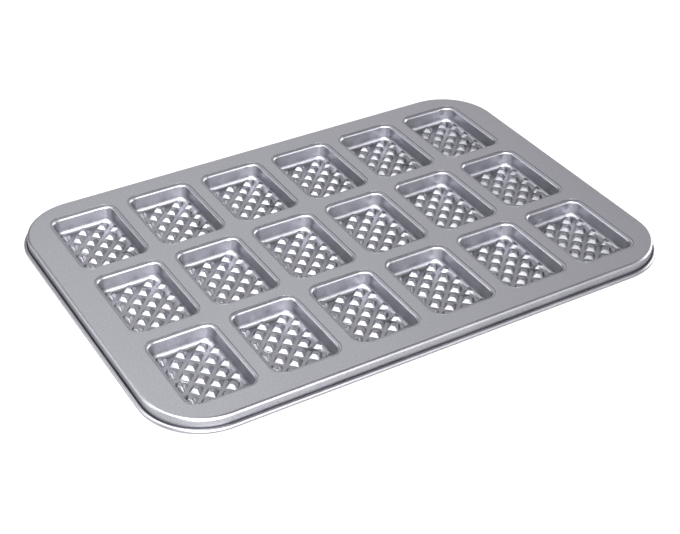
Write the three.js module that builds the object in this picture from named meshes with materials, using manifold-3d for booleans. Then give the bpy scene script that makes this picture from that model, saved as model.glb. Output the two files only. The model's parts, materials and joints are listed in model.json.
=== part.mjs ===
// Mini waffle baking tray: a pressed deck with a wired rim, carrying drawn waffle cups.
// Millimetres, +Z up. The origin is the middle of the tray, on the surface that the cup floors stand on.
import * as THREE from 'three';
import { mergeGeometries, mergeVertices } from 'three/addons/utils/BufferGeometryUtils.js';
import Module from 'manifold-3d';

// Size over the rim, and the sheet steel of the deck and of the cups
const LENGTH = 385.0;
const WIDTH = 264.0;
const SHEET = 0.6;

// Cup mouths and the deck left round them
const COLUMNS = 6;
const ROW_NAMES = ['front', 'middle', 'back'];
const MOUTH_CORNER = 9.0;
const LAND_X = 8.6; // deck between neighbouring mouths
const LAND_Y = 8.9;
const MARGIN_X = 20.1; // deck from the outer mouths to the skirt
const MARGIN_Y = 16.15;

// Cup section, from the flange under the deck down to the floor
const CUP_DEPTH = 13.8; // deck top to floor top
const FLANGE_GAP = 1.0; // between the flanges of neighbouring cups
const LIP_STEP = 0.25; // flange left bare inside the deck's opening
const LIP_RADIUS = 2.1;
const WALL_DRAFT = 1.5; // degrees from upright
const FILLET_RADIUS = 4.6;
const LEAST_CORNER = 0.8;

// Waffle bumps: square frusta turned by 45 degrees, hollow below
const BUMP_PITCH = 10.0; // between the middles of bumps that face each other
const BUMP_BASE = 7.8;
const BUMP_TOP = 4.2;
const BUMP_HEIGHT = 2.6;

// Deck edge and wired rim
const DECK_CORNER = 40.0;
const EDGE_RADIUS = 2.2;
const RIM_LIFT = 4.6; // rim above the surface that the tray stands on
const WIRE_DIAMETER = 1.6;
const WIRE_CLEARANCE = 0.25;
const CURL_GAP = 0.35; // between the curl's end and the skirt

// Facets of round stretches
const MOUTH_STEPS = 3;
const DECK_STEPS = 8;
const LIP_STEPS = 2;
const LIP_UNDERSIDE_STEPS = 1;
const FILLET_STEPS = 1;
const EDGE_STEPS = 3;
const CURL_STEPS = 10;
const WIRE_SIDES = 6;
const CUT = 1.0; // how far a cutting body reaches past the face that it opens
const LAP = 2.0; // strip that the flat deck and its edge share

const CURL_INNER = WIRE_DIAMETER / 2 + WIRE_CLEARANCE;
const CURL_OUTER = CURL_INNER + SHEET;
const WIRE_HEIGHT = RIM_LIFT + CURL_OUTER;
const SKIRT_X = LENGTH / 2 - CURL_INNER - CURL_OUTER;
const SKIRT_Y = WIDTH / 2 - CURL_INNER - CURL_OUTER;
const DECK_TOP = SHEET + CUP_DEPTH;
const DECK_UNDERSIDE = DECK_TOP - SHEET;
const PITCH_X = (2 * (SKIRT_X - MARGIN_X) + LAND_X) / COLUMNS;
const PITCH_Y = (2 * (SKIRT_Y - MARGIN_Y) + LAND_Y) / ROW_NAMES.length;
const MOUTH_X = PITCH_X - LAND_X;
const MOUTH_Y = PITCH_Y - LAND_Y;
const FLANGE = (Math.min(LAND_X, LAND_Y) - FLANGE_GAP) / 2;

const QUARTER = Math.PI / 2;
const WALL_LEAN = QUARTER - THREE.MathUtils.degToRad(WALL_DRAFT);
const LIP_END_HEIGHT = DECK_UNDERSIDE - LIP_RADIUS * (1 - Math.cos(WALL_LEAN));
const FILLET_END_HEIGHT = SHEET + FILLET_RADIUS * (1 - Math.cos(WALL_LEAN));
const WALL_INSET = (LIP_END_HEIGHT - FILLET_END_HEIGHT) / Math.tan(WALL_LEAN);
const WALL_FOOT = LIP_STEP + LIP_RADIUS * Math.sin(WALL_LEAN) + WALL_INSET;
const FLOOR_INSET = WALL_FOOT + FILLET_RADIUS * Math.sin(WALL_LEAN);

const coatedSteel = new THREE.MeshStandardMaterial({
  color: 0x9c9ea0, roughness: 0.38, metalness: 0.9, flatShading: true,
});
const drawnWire = new THREE.MeshStandardMaterial({
  color: 0x8d8f92, roughness: 0.3, metalness: 1.0, flatShading: true,
});

const wasm = await Module();
wasm.setup();

// Evenly spaced values from one number to another
function spread(from, to, steps) {
  return Array.from({ length: steps + 1 }, (_, i) => from + ((to - from) * i) / steps);
}

// Evenly spaced angles round a full turn
function turn(count) {
  return spread(0, 2 * Math.PI, count).slice(0, -1);
}

// Counterclockwise outline of a rectangle with round corners
function roundedRectangle(halfX, halfY, radius, cornerSteps) {
  const points = [];
  [[1, 1], [-1, 1], [-1, -1], [1, -1]].forEach(([signX, signY], corner) => {
    const start = corner * QUARTER;
    spread(start, start + QUARTER, cornerSteps).forEach((angle) => {
      const x = signX * (halfX - radius) + radius * Math.cos(angle);
      const y = signY * (halfY - radius) + radius * Math.sin(angle);
      points.push(new THREE.Vector2(x, y));
    });
  });
  return points;
}

// Outline at a distance outside a cup's mouth
function mouthOutline(offset) {
  const radius = Math.max(MOUTH_CORNER + offset, LEAST_CORNER);
  return roundedRectangle(MOUTH_X / 2 + offset, MOUTH_Y / 2 + offset, radius, MOUTH_STEPS);
}

// Outline at a distance outside the deck's skirt
function skirtOutline(offset) {
  return roundedRectangle(SKIRT_X + offset, SKIRT_Y + offset, DECK_CORNER + offset, DECK_STEPS);
}

// Outline of a square of the given width that stands on its corner
function diamondOutline(width) {
  const reach = width / Math.SQRT2;
  return turn(4).map((angle) => new THREE.Vector2(reach * Math.cos(angle), reach * Math.sin(angle)));
}

// Faces between neighbouring outlines of a section, facing out where the section climbs
function sides(outlines, isRing) {
  const count = outlines[0].length;
  const triangles = [];
  const bands = isRing ? outlines.length : outlines.length - 1;
  for (let band = 0; band < bands; band += 1) {
    const from = band * count;
    const to = ((band + 1) % outlines.length) * count;
    for (let i = 0; i < count; i += 1) {
      const next = (i + 1) % count;
      triangles.push(from + i, from + next, to + next, from + i, to + next, to + i);
    }
  }
  return triangles;
}

function sweptGeometry(section, outlines, triangles) {
  const positions = section.flatMap(({ z }, i) => outlines[i].flatMap((p) => [p.x, p.y, z]));
  const geometry = new THREE.BufferGeometry();
  geometry.setAttribute('position', new THREE.Float32BufferAttribute(positions, 3));
  geometry.setIndex(triangles);
  geometry.computeVertexNormals();
  return geometry;
}

// Ring whose closed section is listed counterclockwise, seen with the outside on the right
function ring(section, outlineAt) {
  const outlines = section.map(({ size }) => outlineAt(size));
  return sweptGeometry(section, outlines, sides(outlines, true));
}

// Body between two level ends whose section is listed upwards
function stack(section, outlineAt) {
  const outlines = section.map(({ size }) => outlineAt(size));
  const triangles = sides(outlines, false);
  const last = (outlines.length - 1) * outlines[0].length;
  THREE.ShapeUtils.triangulateShape(outlines[0], []).forEach(([a, b, c]) => triangles.push(a, c, b));
  THREE.ShapeUtils.triangulateShape(outlines[outlines.length - 1], [])
    .forEach((corners) => triangles.push(...corners.map((i) => last + i)));
  return sweptGeometry(section, outlines, triangles);
}

function toSolid(geometry) {
  const bare = geometry.clone();
  bare.deleteAttribute('normal');
  bare.deleteAttribute('uv');
  const merged = mergeVertices(bare);
  return new wasm.Manifold(new wasm.Mesh({
    numProp: 3,
    vertProperties: Float32Array.from(merged.attributes.position.array),
    triVerts: Uint32Array.from(merged.index.array),
  }));
}

function toGeometry(solid) {
  const { vertProperties, triVerts } = solid.getMesh();
  const geometry = new THREE.BufferGeometry();
  geometry.setAttribute('position', new THREE.Float32BufferAttribute(vertProperties, 3));
  geometry.setIndex(Array.from(triVerts));
  geometry.computeVertexNormals();
  return geometry;
}

function namedMesh(name, geometry, material) {
  const mesh = new THREE.Mesh(geometry, material);
  mesh.name = name;
  return mesh;
}

function cupCentres() {
  return ROW_NAMES.flatMap((rowName, row) => Array.from({ length: COLUMNS }, (_, column) => ({
    name: `cup_${rowName}_${column + 1}`,
    x: (column - (COLUMNS - 1) / 2) * PITCH_X,
    y: (row - (ROW_NAMES.length - 1) / 2) * PITCH_Y,
  })));
}

// Deck: flat top with the cups' openings, rounded edge, skirt and curl, all one sheet

// Section of the deck's edge on one face of the sheet, from the flat deck out to the curl's end
function edgeFace(below) {
  const edgeRadius = EDGE_RADIUS - below;
  const curlRadius = CURL_INNER + below;
  const curlEnd = Math.acos((CURL_GAP - CURL_INNER) / CURL_OUTER);
  return [
    { size: -EDGE_RADIUS - LAP, z: DECK_TOP - below },
    ...spread(QUARTER, 0, EDGE_STEPS).map((angle) => ({
      size: -EDGE_RADIUS + edgeRadius * Math.cos(angle),
      z: DECK_TOP - EDGE_RADIUS + edgeRadius * Math.sin(angle),
    })),
    ...spread(-Math.PI, curlEnd, CURL_STEPS).map((angle) => ({
      size: CURL_INNER + curlRadius * Math.cos(angle),
      z: WIRE_HEIGHT + curlRadius * Math.sin(angle),
    })),
  ];
}

function deckFrame() {
  const edge = ring([...edgeFace(SHEET), ...edgeFace(0).reverse()], skirtOutline);
  const flat = new THREE.Shape(skirtOutline(-EDGE_RADIUS));
  flat.holes = cupCentres().map(({ x, y }) => {
    const opening = mouthOutline(0).map((p) => p.add(new THREE.Vector2(x, y)));
    return new THREE.Path(opening);
  });
  const plate = new THREE.ExtrudeGeometry(flat, { depth: SHEET, bevelEnabled: false });
  plate.translate(0, 0, DECK_UNDERSIDE);
  return namedMesh('deck_frame', toGeometry(toSolid(plate).add(toSolid(edge))), coatedSteel);
}

// Wire that stiffens the rim, inside the curl

function rimWire() {
  const section = turn(WIRE_SIDES).map((angle) => ({
    size: CURL_INNER + (WIRE_DIAMETER / 2) * Math.cos(angle),
    z: WIRE_HEIGHT + (WIRE_DIAMETER / 2) * Math.sin(angle),
  }));
  return namedMesh('rim_wire', ring(section, skirtOutline), drawnWire);
}

// Cup: one drawn sheet with its flange under the deck and its embossed floor

// Section of the cup on one face of the sheet, from below the floor up to the flange
function cupFace(below, lipSteps) {
  const lipRadius = LIP_RADIUS - below;
  const filletRadius = FILLET_RADIUS + below;
  return [
    { size: -FLOOR_INSET, z: -CUT },
    ...spread(0, WALL_LEAN, FILLET_STEPS).map((angle) => ({
      size: -FLOOR_INSET + filletRadius * Math.sin(angle),
      z: SHEET + FILLET_RADIUS - filletRadius * Math.cos(angle),
    })),
    ...spread(WALL_LEAN, 0, lipSteps).map((angle) => ({
      size: -LIP_STEP - lipRadius * Math.sin(angle),
      z: DECK_UNDERSIDE - LIP_RADIUS + lipRadius * Math.cos(angle),
    })),
  ];
}

// Middles of the bumps, in a checkerboard about the floor's middle that ends at a distance inside the mouth
function bumpCentres(inset) {
  const step = BUMP_PITCH / Math.SQRT2;
  const across = Math.floor((MOUTH_X / 2 - inset) / step);
  const along = Math.floor((MOUTH_Y / 2 - inset) / step);
  const centres = [];
  for (let i = -across; i <= across; i += 1) {
    for (let j = -along; j <= along; j += 1) {
      if ((i + j) % 2 === 0) {
        centres.push({ x: i * step, y: j * step });
      }
    }
  }
  return centres;
}

// Slab as wide as the mouth, with a frustum standing on it over each of the given middles
function bumpySlab(centres, top, footWidth, headWidth, headHeight) {
  const slab = new THREE.BoxGeometry(MOUTH_X, MOUTH_Y, 2 * CUT);
  slab.translate(0, 0, top - CUT);
  const frustum = stack([{ size: footWidth, z: top }, { size: headWidth, z: headHeight }], diamondOutline);
  const frusta = centres.map(({ x, y }) => frustum.clone().translate(x, y, 0));
  return toSolid(slab).add(toSolid(mergeGeometries(frusta)));
}

function cupGeometry() {
  const taper = (BUMP_BASE - BUMP_TOP) / BUMP_HEIGHT; // width lost for each millimetre of height
  const flanks = 2 * SHEET * Math.hypot(1, taper / 2); // sheet in both sloping sides, measured level
  const hollowFoot = BUMP_BASE + taper * SHEET - flanks;
  const hollowHead = hollowFoot - taper * BUMP_HEIGHT;
  const bumps = bumpCentres(WALL_FOOT);
  const hollowBumps = bumpCentres(FLOOR_INSET); // those that run into the walls are solid
  const aboveSheet = bumpySlab(bumps, SHEET, BUMP_BASE, BUMP_TOP, SHEET + BUMP_HEIGHT);
  const belowSheet = bumpySlab(hollowBumps, 0, hollowFoot, hollowHead, BUMP_HEIGHT);
  const outside = stack([
    ...cupFace(SHEET, LIP_UNDERSIDE_STEPS),
    { size: FLANGE, z: DECK_UNDERSIDE - SHEET },
    { size: FLANGE, z: DECK_UNDERSIDE },
  ], mouthOutline);
  const inside = stack([
    ...cupFace(0, LIP_STEPS),
    { size: -LIP_STEP, z: DECK_UNDERSIDE + CUT },
  ], mouthOutline);
  const hollow = toSolid(inside).subtract(aboveSheet);
  return toGeometry(toSolid(outside).subtract(belowSheet).subtract(hollow));
}

const tray = new THREE.Group();
tray.add(deckFrame(), rimWire());
const cup = cupGeometry();
cupCentres().forEach(({ name, x, y }) => {
  const mesh = namedMesh(name, cup, coatedSteel);
  mesh.position.set(x, y, 0);
  tray.add(mesh);
});

export default tray;
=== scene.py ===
"""Mini waffle baking tray: a pressed deck with a wired rim, and eighteen cups seated in its openings."""
import json
import math

import bmesh
import bpy
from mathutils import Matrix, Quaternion, Vector

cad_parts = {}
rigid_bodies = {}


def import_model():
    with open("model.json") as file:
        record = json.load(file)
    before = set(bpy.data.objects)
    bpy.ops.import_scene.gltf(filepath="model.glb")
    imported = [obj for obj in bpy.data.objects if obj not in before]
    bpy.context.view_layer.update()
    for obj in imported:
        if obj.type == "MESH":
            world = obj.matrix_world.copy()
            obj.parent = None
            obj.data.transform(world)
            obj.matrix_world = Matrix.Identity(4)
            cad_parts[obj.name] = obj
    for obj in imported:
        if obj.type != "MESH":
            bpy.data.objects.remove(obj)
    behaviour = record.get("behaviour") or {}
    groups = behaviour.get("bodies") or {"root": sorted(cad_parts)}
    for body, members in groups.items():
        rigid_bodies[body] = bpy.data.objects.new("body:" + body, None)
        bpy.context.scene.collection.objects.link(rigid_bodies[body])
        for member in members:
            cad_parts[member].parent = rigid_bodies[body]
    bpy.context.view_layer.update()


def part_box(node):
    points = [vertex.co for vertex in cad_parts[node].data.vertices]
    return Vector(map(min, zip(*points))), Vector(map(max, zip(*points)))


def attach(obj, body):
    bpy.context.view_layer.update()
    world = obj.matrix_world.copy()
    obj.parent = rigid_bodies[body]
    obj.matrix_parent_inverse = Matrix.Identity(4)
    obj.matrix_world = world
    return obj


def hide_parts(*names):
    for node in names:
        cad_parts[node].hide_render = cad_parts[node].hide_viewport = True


MM = 0.001

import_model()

# Sizes of the tray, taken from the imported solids
ROWS = ("front", "middle", "back")
CUPS_IN_ROW = 6
CUP_NODES = [f"cup_{row}_{place}" for row in ROWS for place in range(1, CUPS_IN_ROW + 1)]
_, deck_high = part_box("deck_frame")
flange_low, flange_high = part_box(CUP_NODES[0])
DECK_TOP = deck_high.z
FLANGE_X = flange_high.x - flange_low.x
FLANGE_Y = flange_high.y - flange_low.y

# Sheet and cup mouths
SHEET = 0.6 * MM
FLANGE = 3.8 * MM
MOUTH_X = FLANGE_X - 2 * FLANGE
MOUTH_Y = FLANGE_Y - 2 * FLANGE
MOUTH_CORNER = 9 * MM
MOUTH_STEPS = 8
ROUND_PROFILE = 0.5

# Deck, skirt and curl
FLAT_BORDER = 6 * MM
OPENING_BORDER = 0.9 * MM
CUT_EDGE_ROUND = 0.1 * MM
CUT_EDGE_STEPS = 2
CUT_EDGE_ANGLE = math.radians(50)
EDGE_RADIUS = 2.2 * MM
EDGE_STEPS = 7
CURL_BORE = 1.05 * MM
CURL_OUTSIDE = CURL_BORE + SHEET
CURL_GAP = 0.9 * MM
CURL_STEPS = 18
SKIRT_X = deck_high.x - CURL_BORE - CURL_OUTSIDE
SKIRT_Y = deck_high.y - CURL_BORE - CURL_OUTSIDE
SKIRT_CORNER = 40 * MM
CORNER_STEPS = 18
MERGE_DISTANCE = 0.01 * MM

# Rim wire
WIRE_RADIUS = 0.8 * MM
WIRE_SIDES = 12
WIRE_DEPTH = 8.15 * MM
WIRE_HEIGHT = DECK_TOP - WIRE_DEPTH

# The cup's section, measured inwards from the edge of its opening and up from the table
SEAT_GAP = 0.02 * MM
SEAT = DECK_TOP - SHEET - SEAT_GAP
SEAM = 0.4 * MM
LIP_START = 0.58 * MM
LIP_RADIUS = 1.95 * MM
LIP_SINK = 0.3 * MM
LIP_CROWN = DECK_TOP - LIP_SINK
LIP_STEPS = 8
UNDER_LIP_STEPS = 4
WALL_LEAN = math.radians(88.5)
FILLET_RADIUS = 4.6 * MM
FILLET_STEPS = 7
CUP_DEPTH = 13.8 * MM
FLOOR_TOP = DECK_TOP - CUP_DEPTH
FLOOR_UNDER = FLOOR_TOP - SHEET
BLOCK_DEPTH = 5 * MM
BLOCK_FOOT = FLOOR_UNDER - BLOCK_DEPTH

# The waffle bumps, set out in two grids of columns and rows
BUMP_PITCH = 10 * MM
BUMP_STEP = BUMP_PITCH / math.sqrt(2)
BUMP_TURN = math.radians(45)
BUMP_GRIDS = [(3, 5), (4, 4)]
BUMP_ROOT = 0.4 * MM
BUMP_HEIGHT = 2.4 * MM
BUMP_FOOT = 7.6 * MM
BUMP_TOP = 3.6 * MM
BUMP_EDGE = 1.1 * MM
BUMP_BROW = 0.6 * MM
BUMP_STEPS = 2
HOLLOW_FOOT = 7 * MM
HOLLOW_TOP = 3 * MM
HOLLOW_STEPS = 1

# Smooth bends and flat faces
SMOOTH_ANGLE = math.radians(36)
FLAT_WEIGHT = 100

# Coat, with painted shade that darkens it towards the cup floors
COAT_DARK = (0.355, 0.355, 0.387, 1)
COAT_LIGHT = (0.475, 0.475, 0.518, 1)
COAT_GRAZING = (0.55, 0.55, 0.55, 1)
COAT_GLOSSY = 0.35
COAT_DULL = 0.41
SPECK_SCALE = 900
SPECK_DETAIL = 3
SPECK_CRISPNESS = 0.7
DRIFT_SCALE = 30
DRIFT_DETAIL = 2
NOISE_LOW = 0.3
NOISE_HIGH = 0.7
DIMPLE_STRENGTH = 0.06
DIMPLE_DEPTH = 0.2 * MM
PAINTED_FLOOR_SHADE = 0.8
PAINTED_SHADE_RISE = 7 * MM

# Steel of the wire, its tones darkened as painted shade inside the curl
WIRE_DARK_PAINTED_SHADE = (0.12, 0.115, 0.11, 1)
WIRE_LIGHT_PAINTED_SHADE = (0.25, 0.245, 0.235, 1)
WIRE_ROUGHNESS = 0.4
MARK_SCALE = 400
MARK_DETAIL = 4

# Camera, measured from the middle of the deck's top
CAMERA_PLACE = Vector((-419.62, -684.94, 541.80)) * MM
CAMERA_AIM = Vector((-28.45, -30.67, 0)) * MM
CAMERA_ROLL = math.radians(0.664)
IMAGE_WIDTH = 680
FOCAL_PIXELS = 1411.38
SHIFT_PIXELS = 13
SENSOR_WIDTH = 36
CLIP_START = 0.05

# Glows of the room, each by its bearing from the front, its climb and its level
GLOW_SHARPNESS = 18
GLOWS = [
    (0, 25, 14.2),
    (-30, 25, 8.1),
    (90, 5, 15),
    (144, 45, 1.2),
    (150, 5, 1.45),
    (180, 45, 1.6),
    (240, 5, 5.7),
]

# Soft boxes
LAMPS = [
    dict(name="front_box", bearing=-25, climb=8, distance=0.55, width=0.4, height=0.25, power=2.3),
    dict(name="left_box", bearing=-76, climb=46, distance=0.62, width=0.7, height=0.3, power=4),
]

# Table
TABLE_SIZE = 8
TABLE_TONE = 0.5
TABLE_GLOW = 0.6


def new_piece(name):
    """Starts an empty piece at the origin and opens it in edit mode."""
    bpy.ops.object.select_all(action="DESELECT")
    bpy.ops.object.add(type="MESH", location=(0, 0, 0))
    piece = bpy.context.object
    piece.name = name
    bpy.ops.object.mode_set(mode="EDIT")
    bpy.ops.mesh.select_mode(type="VERT")
    return piece


def select_alone(piece):
    """Selects one piece and nothing else."""
    bpy.ops.object.select_all(action="DESELECT")
    piece.select_set(True)
    bpy.context.view_layer.objects.active = piece


def open_piece(piece):
    """Opens one piece in edit mode."""
    select_alone(piece)
    bpy.ops.object.mode_set(mode="EDIT")


def close_piece():
    """Leaves edit mode."""
    bpy.ops.object.mode_set(mode="OBJECT")


def pick(piece, kind, test):
    """Selects the vertices, edges or faces of the open piece that pass a test, and nothing else."""
    bpy.ops.mesh.select_mode(type=kind)
    bpy.ops.mesh.select_all(action="DESELECT")
    mesh = bmesh.from_edit_mesh(piece.data)
    kinds = {"VERT": mesh.verts, "EDGE": mesh.edges, "FACE": mesh.faces}
    for element in kinds[kind]:
        if test(element):
            element.select_set(True)
    bmesh.update_edit_mesh(piece.data)


def lowest(element):
    """Height of the lowest corner of an edge or face."""
    return min(corner.co.z for corner in element.verts)


def extrude(move):
    """Draws the selection of the open piece out along a move."""
    bpy.ops.mesh.extrude_region_move(TRANSFORM_OT_translate={"value": move})


def face_outwards():
    """Turns all faces of the open piece outwards."""
    bpy.ops.mesh.select_all(action="SELECT")
    bpy.ops.mesh.normals_make_consistent(inside=False)


def apply_modifier(piece, kind, **settings):
    """Adds a modifier to a closed piece and applies it."""
    select_alone(piece)
    modifier = piece.modifiers.new(kind.lower(), kind)
    for setting, value in settings.items():
        setattr(modifier, setting, value)
    bpy.ops.object.modifier_apply(modifier=modifier.name)


def join_pieces(first, second):
    """Joins the second piece into the first."""
    select_alone(first)
    second.select_set(True)
    bpy.ops.object.join()


def rounded_plate(width, depth, corner, place):
    """Adds a flat plate with round corners to the open piece and leaves it selected."""
    bpy.ops.mesh.select_mode(type="VERT")
    bpy.ops.mesh.select_all(action="DESELECT")
    bpy.ops.mesh.primitive_plane_add(size=1, location=place)
    bpy.ops.transform.resize(value=(width, depth, 1), center_override=place)
    bpy.ops.mesh.bevel(affect="VERTICES", offset=corner, segments=MOUTH_STEPS, profile=ROUND_PROFILE)
    bpy.ops.mesh.select_linked()
    bpy.ops.mesh.select_mode(type="FACE")


def arc(centre_in, centre_up, radius, start, end, steps):
    """Points of a section on an arc, with its angles measured from straight up towards the inside."""
    points = []
    for step in range(steps + 1):
        angle = start + (end - start) * step / steps
        points.append((centre_in + radius * math.sin(angle), centre_up + radius * math.cos(angle)))
    return points


def cup_middle(node):
    """Middle of one cup's solid."""
    low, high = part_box(node)
    return (low + high) / 2


def wall_foot():
    """Distance from the edge of the opening to the wall where it meets the fillet of the floor."""
    top_in = LIP_START + LIP_RADIUS * math.sin(WALL_LEAN)
    top_up = LIP_CROWN - LIP_RADIUS * (1 - math.cos(WALL_LEAN))
    foot_up = FLOOR_TOP + FILLET_RADIUS * (1 - math.cos(WALL_LEAN))
    return top_in + (top_up - foot_up) / math.tan(WALL_LEAN)


def wall_section(fillet_radius):
    """Section of the wall, from its foot round the fillet to the floor."""
    fillet_in = wall_foot() + FILLET_RADIUS * math.sin(WALL_LEAN)
    fillet_up = FLOOR_TOP + FILLET_RADIUS
    return arc(fillet_in, fillet_up, fillet_radius, math.pi + WALL_LEAN, math.pi, FILLET_STEPS)


def waffle_bump(name, foot, top, steps, floor):
    """One bump: a square block with sloping sides and rounded edges, turned by 45 degrees."""
    bump = new_piece(name)
    bpy.ops.mesh.select_mode(type="FACE")
    bpy.ops.mesh.primitive_plane_add(
        size=foot,
        location=(0, 0, floor - BUMP_ROOT),
        rotation=(0, 0, BUMP_TURN),
    )
    for rise in (BUMP_ROOT, BUMP_HEIGHT):
        extrude((0, 0, rise))
    share = top / foot
    bpy.ops.transform.resize(value=(share, share, 1), center_override=(0, 0, 0))
    pick(bump, "EDGE", lambda edge: abs(edge.verts[0].co.z - edge.verts[1].co.z) > BUMP_ROOT / 2)
    bpy.ops.mesh.bevel(offset=BUMP_EDGE, segments=steps)
    pick(bump, "EDGE", lambda edge: lowest(edge) > floor + BUMP_HEIGHT / 2)
    bpy.ops.mesh.bevel(offset=BUMP_BROW, segments=steps)
    face_outwards()
    close_piece()
    return bump


def set_out(bump, columns, rows):
    """Repeats a bump in a square grid about the middle of the floor."""
    open_piece(bump)
    bpy.ops.mesh.select_all(action="SELECT")
    bpy.ops.transform.translate(value=((1 - columns) * BUMP_STEP, (1 - rows) * BUMP_STEP, 0))
    close_piece()
    for count, spacing in ((columns, (2 * BUMP_STEP, 0, 0)), (rows, (0, 2 * BUMP_STEP, 0))):
        apply_modifier(
            bump,
            "ARRAY",
            count=count,
            use_relative_offset=False,
            use_constant_offset=True,
            constant_offset_displace=spacing,
        )


def waffle_bumps(name, foot, top, steps, floor):
    """The bumps of one floor, in two crossed grids."""
    grids = []
    for number, (columns, rows) in enumerate(BUMP_GRIDS):
        grid = waffle_bump(f"{name}_{number}", foot, top, steps, floor)
        set_out(grid, columns, rows)
        grids.append(grid)
    join_pieces(grids[0], grids[1])
    return grids[0]


def cup_face(name, lip, wall, bumps):
    """One face of a cup's sheet: the flange and lip, the drawn wall, and the bumps on its floor."""
    face = new_piece(name)
    inset, height = lip[0]
    # A block below closes the face until the bumps are joined to it
    rounded_plate(FLANGE_X, FLANGE_Y, MOUTH_CORNER + FLANGE, (0, 0, BLOCK_FOOT))
    extrude((0, 0, height - BLOCK_FOOT))
    for next_inset, next_height in lip[1:]:
        bpy.ops.mesh.inset(thickness=next_inset - inset, use_even_offset=True)
        bpy.ops.transform.translate(value=(0, 0, next_height - height))
        inset, height = next_inset, next_height
    for next_inset, next_height in wall:
        share_x = (MOUTH_X - 2 * next_inset) / (MOUTH_X - 2 * inset)
        share_y = (MOUTH_Y - 2 * next_inset) / (MOUTH_Y - 2 * inset)
        extrude((0, 0, next_height - height))
        bpy.ops.transform.resize(value=(share_x, share_y, 1), center_override=(0, 0, 0))
        inset, height = next_inset, next_height
    face_outwards()
    close_piece()
    apply_modifier(face, "BOOLEAN", operation="UNION", solver="EXACT", object=bumps)
    bpy.data.objects.remove(bumps)
    open_piece(face)
    pick(face, "FACE", lambda side: lowest(side) < (BLOCK_FOOT + FLOOR_UNDER) / 2)
    bpy.ops.mesh.delete(type="FACE")
    close_piece()
    return face


def drawn_cup():
    """The cup's sheet: its upper and its lower face, joined along the edge of the flange."""
    lip_middle = LIP_CROWN - LIP_RADIUS
    lip = [(-FLANGE, SEAT), (SEAM, SEAT)]
    lip += arc(LIP_START, lip_middle, LIP_RADIUS, 0, WALL_LEAN, LIP_STEPS)
    under_lip = [(-FLANGE, SEAT - SHEET), (SEAM, SEAT - SHEET)]
    under_lip += arc(LIP_START, lip_middle, LIP_RADIUS - SHEET, 0, WALL_LEAN, UNDER_LIP_STEPS)
    bumps = waffle_bumps("bumps", BUMP_FOOT, BUMP_TOP, BUMP_STEPS, FLOOR_TOP)
    hollows = waffle_bumps("hollows", HOLLOW_FOOT, HOLLOW_TOP, HOLLOW_STEPS, FLOOR_UNDER)
    cup = cup_face("drawn_cup", lip, wall_section(FILLET_RADIUS), bumps)
    lower = cup_face("cup_underside", under_lip, wall_section(FILLET_RADIUS + SHEET), hollows)
    open_piece(lower)
    bpy.ops.mesh.select_all(action="SELECT")
    bpy.ops.mesh.flip_normals()
    close_piece()
    join_pieces(cup, lower)
    open_piece(cup)
    pick(cup, "EDGE", lambda edge: edge.is_boundary)
    bpy.ops.mesh.bridge_edge_loops()
    face_outwards()
    close_piece()
    return cup


def run_round():
    """Carries the selected section once round the tray: along the straights and about the corners."""
    straight_x = 2 * (SKIRT_X - SKIRT_CORNER)
    straight_y = 2 * (SKIRT_Y - SKIRT_CORNER)
    runs = [
        ((1, -1), (0, straight_y, 0)),
        ((1, 1), (-straight_x, 0, 0)),
        ((-1, 1), (0, -straight_y, 0)),
        ((-1, -1), (straight_x, 0, 0)),
    ]
    for (side_x, side_y), straight in runs:
        corner = (side_x * straight_x / 2, side_y * straight_y / 2, 0)
        bpy.ops.mesh.spin(steps=CORNER_STEPS, angle=-math.pi / 2, center=corner, axis=(0, 0, 1))
        extrude(straight)
    bpy.ops.mesh.select_all(action="SELECT")
    bpy.ops.mesh.remove_doubles(threshold=MERGE_DISTANCE)
    face_outwards()


def deck_section():
    """Section of the sheet's face over deck, skirt and inside of the curl, as distance out and height."""
    section = [(-FLAT_BORDER, DECK_TOP)]
    section += arc(-EDGE_RADIUS, DECK_TOP - EDGE_RADIUS, EDGE_RADIUS, 0, math.pi / 2, EDGE_STEPS)
    curl_start = -math.pi / 2
    full_curl = math.pi + math.acos((CURL_GAP - CURL_BORE) / CURL_OUTSIDE)
    section += arc(CURL_BORE, WIRE_HEIGHT, CURL_BORE, curl_start, curl_start - full_curl, CURL_STEPS)
    return section


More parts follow.
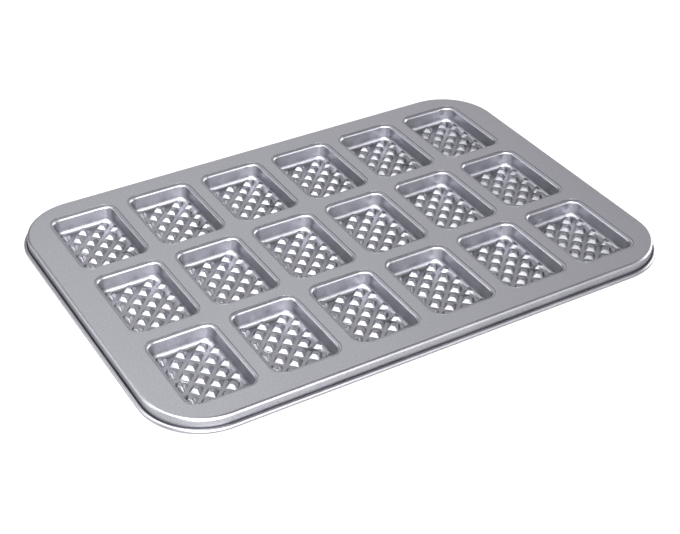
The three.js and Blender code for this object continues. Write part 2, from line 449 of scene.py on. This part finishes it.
def pressed_deck():
    """The deck: one sheet with eighteen openings, rolled over at its edge and curled round the wire."""
    deck = new_piece("pressed_deck")
    section = deck_section()
    out, up = section[0]
    # A small plane merged to its middle gives the section's first point
    bpy.ops.mesh.primitive_plane_add(size=MM, location=(SKIRT_X - SKIRT_CORNER, -SKIRT_Y - out, up))
    bpy.ops.mesh.merge(type="CENTER")
    for next_out, next_up in section[1:]:
        step = (0, out - next_out, next_up - up)
        bpy.ops.mesh.extrude_vertices_move(TRANSFORM_OT_translate={"value": step})
        out, up = next_out, next_up
    bpy.ops.mesh.select_mode(type="EDGE")
    bpy.ops.mesh.select_all(action="SELECT")
    run_round()
    for node in CUP_NODES:
        middle = cup_middle(node)
        rounded_plate(
            MOUTH_X + 2 * OPENING_BORDER,
            MOUTH_Y + 2 * OPENING_BORDER,
            MOUTH_CORNER + OPENING_BORDER,
            (middle.x, middle.y, DECK_TOP),
        )
    pick(deck, "EDGE", lambda edge: edge.is_boundary and lowest(edge) > DECK_TOP - EDGE_RADIUS)
    bpy.ops.mesh.fill(use_beauty=True)
    pick(deck, "FACE", lambda face: len(face.verts) > 2 * MOUTH_STEPS)
    bpy.ops.mesh.inset(thickness=OPENING_BORDER, use_even_offset=True, use_individual=True)
    bpy.ops.mesh.delete(type="FACE")
    bpy.ops.mesh.select_all(action="SELECT")
    bpy.ops.mesh.normals_make_consistent(inside=True)
    close_piece()
    apply_modifier(deck, "SOLIDIFY", thickness=SHEET, offset=-1, use_even_offset=True)
    apply_modifier(
        deck,
        "BEVEL",
        width=CUT_EDGE_ROUND,
        segments=CUT_EDGE_STEPS,
        limit_method="ANGLE",
        angle_limit=CUT_EDGE_ANGLE,
    )
    return deck


def rim_rod():
    """The wire inside the curl."""
    rod = new_piece("rim_rod")
    bpy.ops.mesh.primitive_circle_add(
        vertices=WIRE_SIDES,
        radius=WIRE_RADIUS,
        location=(SKIRT_X - SKIRT_CORNER, -SKIRT_Y - CURL_BORE, WIRE_HEIGHT),
        rotation=(0, math.pi / 2, 0),
    )
    bpy.ops.mesh.select_mode(type="EDGE")
    run_round()
    close_piece()
    return rod


def dress(piece, material):
    """Rounds the shading over the bends, keeps the flats flat, and gives the piece its material."""
    select_alone(piece)
    bpy.ops.object.shade_smooth_by_angle(angle=SMOOTH_ANGLE)
    apply_modifier(piece, "WEIGHTED_NORMAL", weight=FLAT_WEIGHT, keep_sharp=True)
    piece.data.materials.append(material)


def fill(tree, target, sockets):
    """Fills sockets of a shader node, each with a value or from another node's output."""
    for socket, value in sockets.items():
        if isinstance(value, bpy.types.NodeSocket):
            tree.links.new(value, target.inputs[socket])
        else:
            target.inputs[socket].default_value = value


def add_node(tree, kind, sockets=None, **settings):
    """Adds a shader node with its settings, and fills its sockets."""
    added = tree.nodes.new(kind)
    for setting, value in settings.items():
        setattr(added, setting, value)
    fill(tree, added, sockets or {})
    return added


def reckon(tree, operation, *values):
    """Adds a sum of numbers and node outputs, and returns its result."""
    return add_node(tree, "ShaderNodeMath", dict(enumerate(values)), operation=operation).outputs[0]


def new_material(name):
    """Starts a material and returns it with its node tree."""
    material = bpy.data.materials.new(name)
    material.use_nodes = True
    return material, material.node_tree


def coat_grain_and_painted_shade():
    """Fine grain of the baked coat: its colour, its gloss and its tiny dimples, and painted shade that
    darkens the colour towards the cup floors.
    """
    group = bpy.data.node_groups.new("coat_grain_and_painted_shade", "ShaderNodeTree")
    group.interface.new_socket("Colour", in_out="OUTPUT", socket_type="NodeSocketColor")
    group.interface.new_socket("Roughness", in_out="OUTPUT", socket_type="NodeSocketFloat")
    group.interface.new_socket("Normal", in_out="OUTPUT", socket_type="NodeSocketVector")
    place = add_node(group, "ShaderNodeTexCoord").outputs["Object"]
    speck = add_node(
        group,
        "ShaderNodeTexNoise",
        {"Vector": place, "Scale": SPECK_SCALE, "Detail": SPECK_DETAIL, "Roughness": SPECK_CRISPNESS},
    ).outputs[0]
    drift = add_node(
        group,
        "ShaderNodeTexNoise",
        {"Vector": place, "Scale": DRIFT_SCALE, "Detail": DRIFT_DETAIL},
    ).outputs[0]
    grain = add_node(
        group,
        "ShaderNodeMapRange",
        {"Value": speck, "From Min": NOISE_LOW, "From Max": NOISE_HIGH, "To Min": 0, "To Max": 1},
    )
    tone = add_node(
        group,
        "ShaderNodeMix",
        {"Factor": grain.outputs[0], "A": COAT_DARK, "B": COAT_LIGHT},
        data_type="RGBA",
    )
    # Painted shade: the colour darkens from the bump tops down to the cup floors
    shade = add_node(
        group,
        "ShaderNodeMapRange",
        {
            "Value": add_node(group, "ShaderNodeSeparateXYZ", {0: place}).outputs["Z"],
            "From Min": FLOOR_TOP + BUMP_HEIGHT,
            "From Max": FLOOR_TOP + PAINTED_SHADE_RISE,
            "To Min": PAINTED_FLOOR_SHADE,
            "To Max": 1,
        },
    )
    shaded = add_node(
        group,
        "ShaderNodeHueSaturation",
        {"Color": tone.outputs["Result"], "Value": shade.outputs[0]},
    )
    gloss = add_node(
        group,
        "ShaderNodeMapRange",
        {
            "Value": drift,
            "From Min": NOISE_LOW,
            "From Max": NOISE_HIGH,
            "To Min": COAT_GLOSSY,
            "To Max": COAT_DULL,
        },
    )
    dimples = add_node(
        group,
        "ShaderNodeBump",
        {"Height": speck, "Strength": DIMPLE_STRENGTH, "Distance": DIMPLE_DEPTH},
    )
    add_node(
        group,
        "NodeGroupOutput",
        {"Colour": shaded.outputs[0], "Roughness": gloss.outputs[0], "Normal": dimples.outputs[0]},
    )
    return group


def satin_coat():
    """Silver-grey satin coat on steel."""
    material, tree = new_material("satin_coat")
    # The group's colour carries painted shade, darker towards the cup floors
    grain = add_node(tree, "ShaderNodeGroup", node_tree=coat_grain_and_painted_shade())
    coat = {
        "Base Color": grain.outputs["Colour"],
        "Metallic": 1,
        "Roughness": grain.outputs["Roughness"],
        "Specular Tint": COAT_GRAZING,
        "Normal": grain.outputs["Normal"],
    }
    fill(tree, tree.nodes["Principled BSDF"], coat)
    return material


def wire_steel_with_painted_shade():
    """Bare steel wire with the marks of the drawing die, its tone darkened as painted shade inside the
    curl.
    """
    material, tree = new_material("wire_steel_with_painted_shade")
    place = add_node(tree, "ShaderNodeTexCoord").outputs["Object"]
    marks = add_node(
        tree,
        "ShaderNodeTexNoise",
        {"Vector": place, "Scale": MARK_SCALE, "Detail": MARK_DETAIL},
    )
    # Painted shade: both tones are darkened so that the wire reads as the shade inside the curl
    tone = add_node(
        tree,
        "ShaderNodeMix",
        {"Factor": marks.outputs[0], "A": WIRE_DARK_PAINTED_SHADE, "B": WIRE_LIGHT_PAINTED_SHADE},
        data_type="RGBA",
    )
    steel = {"Base Color": tone.outputs["Result"], "Metallic": 1, "Roughness": WIRE_ROUGHNESS}
    fill(tree, tree.nodes["Principled BSDF"], steel)
    return material


def place_pieces():
    """Makes the tray's pieces and puts each one on the solid that it stands for."""
    coat = satin_coat()
    deck = pressed_deck()
    dress(deck, coat)
    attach(deck, "root")
    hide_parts("deck_frame")

    rod = rim_rod()
    dress(rod, wire_steel_with_painted_shade())
    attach(rod, "root")
    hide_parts("rim_wire")

    pattern = drawn_cup()
    dress(pattern, coat)
    for node in CUP_NODES:
        middle = cup_middle(node)
        select_alone(pattern)
        bpy.ops.object.duplicate()
        cup = bpy.context.object
        cup.name = "drawn_" + node
        cup.location = (middle.x, middle.y, 0)
        bpy.ops.object.transform_apply(location=True, rotation=False, scale=False)
        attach(cup, "root")
        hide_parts(node)
    bpy.data.objects.remove(pattern)


def camera():
    """The camera of the photograph: in front on the left, looking down on the tray."""
    deck_middle = Vector((0, 0, DECK_TOP))
    place = CAMERA_PLACE + deck_middle
    aim = CAMERA_AIM + deck_middle
    bpy.ops.object.camera_add(location=place)
    lens = bpy.context.object
    lens.name = "photo_camera"
    lens.rotation_mode = "QUATERNION"
    lens.rotation_quaternion = (aim - place).to_track_quat("-Z", "Y") @ Quaternion((0, 0, 1), CAMERA_ROLL)
    lens.data.sensor_width = SENSOR_WIDTH
    lens.data.lens = FOCAL_PIXELS / IMAGE_WIDTH * SENSOR_WIDTH
    lens.data.shift_x = SHIFT_PIXELS / IMAGE_WIDTH
    lens.data.clip_start = CLIP_START
    bpy.context.scene.camera = lens


def white_table():
    """Table top, which shows white to the camera alone and keeps the tray's shadow."""
    material, tree = new_material("white_table")
    tree.nodes.clear()
    matt = add_node(tree, "ShaderNodeBsdfDiffuse", {"Color": (TABLE_TONE, TABLE_TONE, TABLE_TONE, 1)})
    seen = add_node(tree, "ShaderNodeLightPath").outputs["Is Camera Ray"]
    glow = add_node(tree, "ShaderNodeEmission", {"Strength": reckon(tree, "MULTIPLY", seen, TABLE_GLOW)})
    both = add_node(tree, "ShaderNodeAddShader", {0: matt.outputs[0], 1: glow.outputs[0]})
    add_node(tree, "ShaderNodeOutputMaterial", {"Surface": both.outputs[0]})
    return material


def towards(bearing, climb):
    """Direction from the tray, with its bearing measured from the front towards the right."""
    turn = math.radians(bearing)
    rise = math.radians(climb)
    return Vector((math.sin(turn) * math.cos(rise), -math.cos(turn) * math.cos(rise), math.sin(rise)))


def glowing_room():
    """Dark surroundings with a few broad soft glows."""
    world = bpy.data.worlds.new("glowing_room")
    bpy.context.scene.world = world
    world.use_nodes = True
    tree = world.node_tree
    tree.nodes.clear()
    way = add_node(tree, "ShaderNodeTexCoord").outputs["Generated"]
    total = 0
    for bearing, climb, level in GLOWS:
        facing = add_node(
            tree,
            "ShaderNodeVectorMath",
            {0: way, 1: towards(bearing, climb)},
            operation="DOT_PRODUCT",
        ).outputs["Value"]
        fall = reckon(tree, "MULTIPLY_ADD", facing, GLOW_SHARPNESS, -GLOW_SHARPNESS)
        glow = reckon(tree, "EXPONENT", fall)
        total = reckon(tree, "MULTIPLY_ADD", glow, level, total)
    room = add_node(tree, "ShaderNodeBackground", {"Strength": total})
    add_node(tree, "ShaderNodeOutputWorld", {"Surface": room.outputs[0]})


def lamp(name, bearing, climb, distance, width, height, power):
    """A soft box that faces the tray."""
    place = towards(bearing, climb) * distance
    bpy.ops.object.light_add(type="AREA", location=place)
    box = bpy.context.object
    box.name = name
    box.data.shape = "RECTANGLE"
    box.data.size = width
    box.data.size_y = height
    box.data.energy = power
    box.visible_camera = False
    box.rotation_mode = "QUATERNION"
    box.rotation_quaternion = (-place).to_track_quat("-Z", "Y")


def studio():
    """Table, surroundings and soft lights."""
    bpy.ops.object.select_all(action="DESELECT")
    bpy.ops.mesh.primitive_plane_add(size=TABLE_SIZE, location=(0, 0, FLOOR_UNDER))
    table = bpy.context.object
    table.name = "table_top"
    table.data.materials.append(white_table())
    glowing_room()
    for soft_box in LAMPS:
        lamp(**soft_box)


camera()
place_pieces()
studio()
bpy.context.scene.view_settings.view_transform = "Standard"
